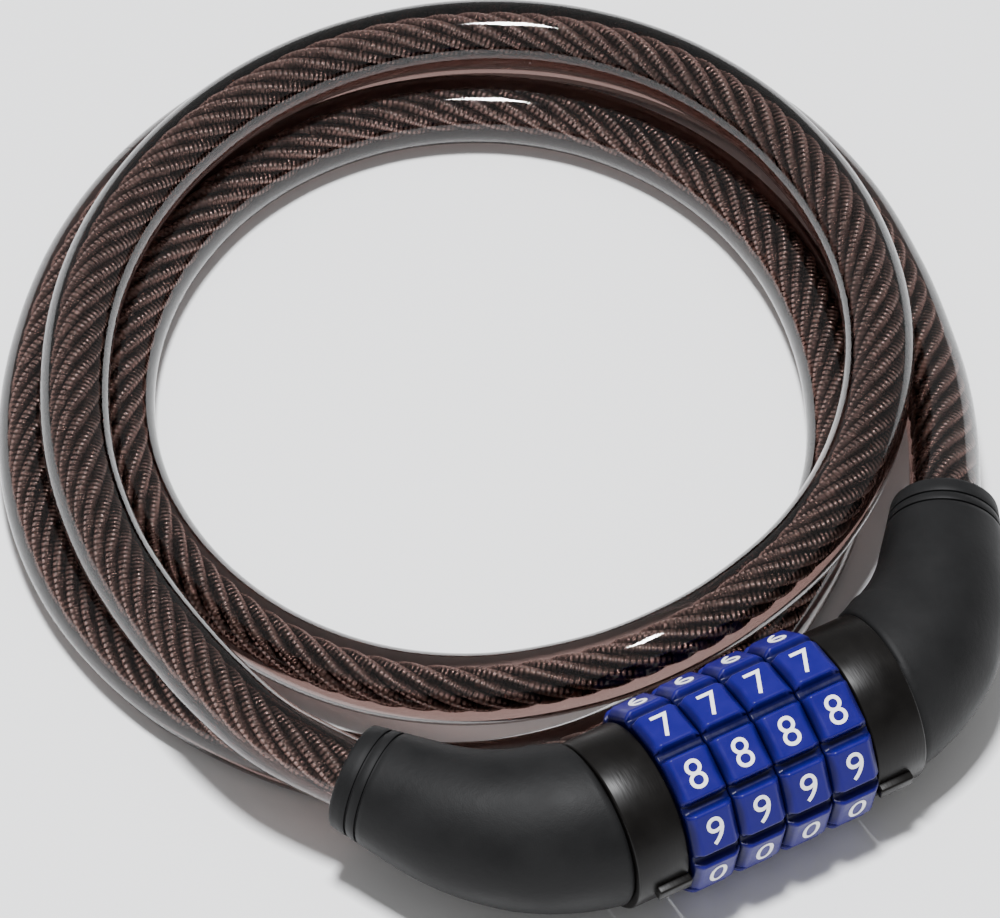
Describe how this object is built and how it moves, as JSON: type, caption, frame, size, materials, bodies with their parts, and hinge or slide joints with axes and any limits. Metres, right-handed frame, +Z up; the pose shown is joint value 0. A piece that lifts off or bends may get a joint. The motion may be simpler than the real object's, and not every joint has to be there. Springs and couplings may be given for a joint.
{
  "type": "combination cable lock",
  "caption": "Coiled steel cable lock with number dials, elbow boots and a plug that pulls out of its socket when the code lines up.",
  "frame": {"origin": "on the table, under the middle of the lock body with both of its boots and without the cable", "axes": "+X along the dials' axis from the socket half to the plug half, +Y towards the coil of cable, +Z up from the table"},
  "size_m": [0.1687, 0.1987, 0.033],
  "materials": {
    "boot_black": "satin, finely grained",
    "collar_black": "smooth semi-gloss",
    "dial_blue": "smooth, slightly translucent",
    "sleeve": "smoky brown, see-through, glossy",
    "rope": "twisted wire strands",
    "steel": "turned",
    "zinc": "die cast",
    "brass": "turned"
  },
  "bodies": {
    "socket_half": {"socket_boot": "boot_black", "socket_ferrule": "steel", "socket_cross_pin": "steel", "socket_collar": "collar_black", "barrel": "zinc", "retaining_washer": "steel", "detent_spring_1": "steel", "detent_spring_2": "steel", "detent_spring_3": "steel", "detent_spring_4": "steel", "cable_sleeve": "sleeve", "wire_rope": "rope", "cable_sleeve_tail": "sleeve", "wire_rope_tail": "rope", "socket_sleeve_end": "sleeve", "socket_rope_end": "rope"},
    "dial_1_body": {"dial_1": "dial_blue", "code_wheel_1": "brass"},
    "dial_2_body": {"dial_2": "dial_blue", "code_wheel_2": "brass"},
    "dial_3_body": {"dial_3": "dial_blue", "code_wheel_3": "brass"},
    "dial_4_body": {"dial_4": "dial_blue", "code_wheel_4": "brass"},
    "plug_half": {"plug_boot": "boot_black", "plug_ferrule": "steel", "plug_cross_pin": "steel", "plug_collar": "collar_black", "plug_body": "zinc", "locking_pin": "steel", "plug_sleeve_end": "sleeve", "plug_rope_end": "rope"}
  },
  "joints": [
    {"name": "dial_turn_1", "type": "hinge", "parent": "socket_half", "child": "dial_1_body", "pos_m": [-0.0132, -0.0078, 0.01652], "axis": [1, 0, 0], "continuous": true, "deforming": ["detent_spring_1"]},
    {"name": "dial_turn_2", "type": "hinge", "parent": "socket_half", "child": "dial_2_body", "pos_m": [-0.0044, -0.0078, 0.01652], "axis": [1, 0, 0], "continuous": true, "deforming": ["detent_spring_2"]},
    {"name": "dial_turn_3", "type": "hinge", "parent": "socket_half", "child": "dial_3_body", "pos_m": [0.0044, -0.0078, 0.01652], "axis": [1, 0, 0], "continuous": true, "deforming": ["detent_spring_3"]},
    {"name": "dial_turn_4", "type": "hinge", "parent": "socket_half", "child": "dial_4_body", "pos_m": [0.0132, -0.0078, 0.01652], "axis": [1, 0, 0], "continuous": true, "deforming": ["detent_spring_4"]},
    {"name": "plug_slide", "type": "slide", "parent": "socket_half", "child": "plug_half", "axis": [1, 0, 0], "range_m": [0, 0.045], "deforming": ["cable_sleeve_tail", "wire_rope_tail"]}
  ]
}
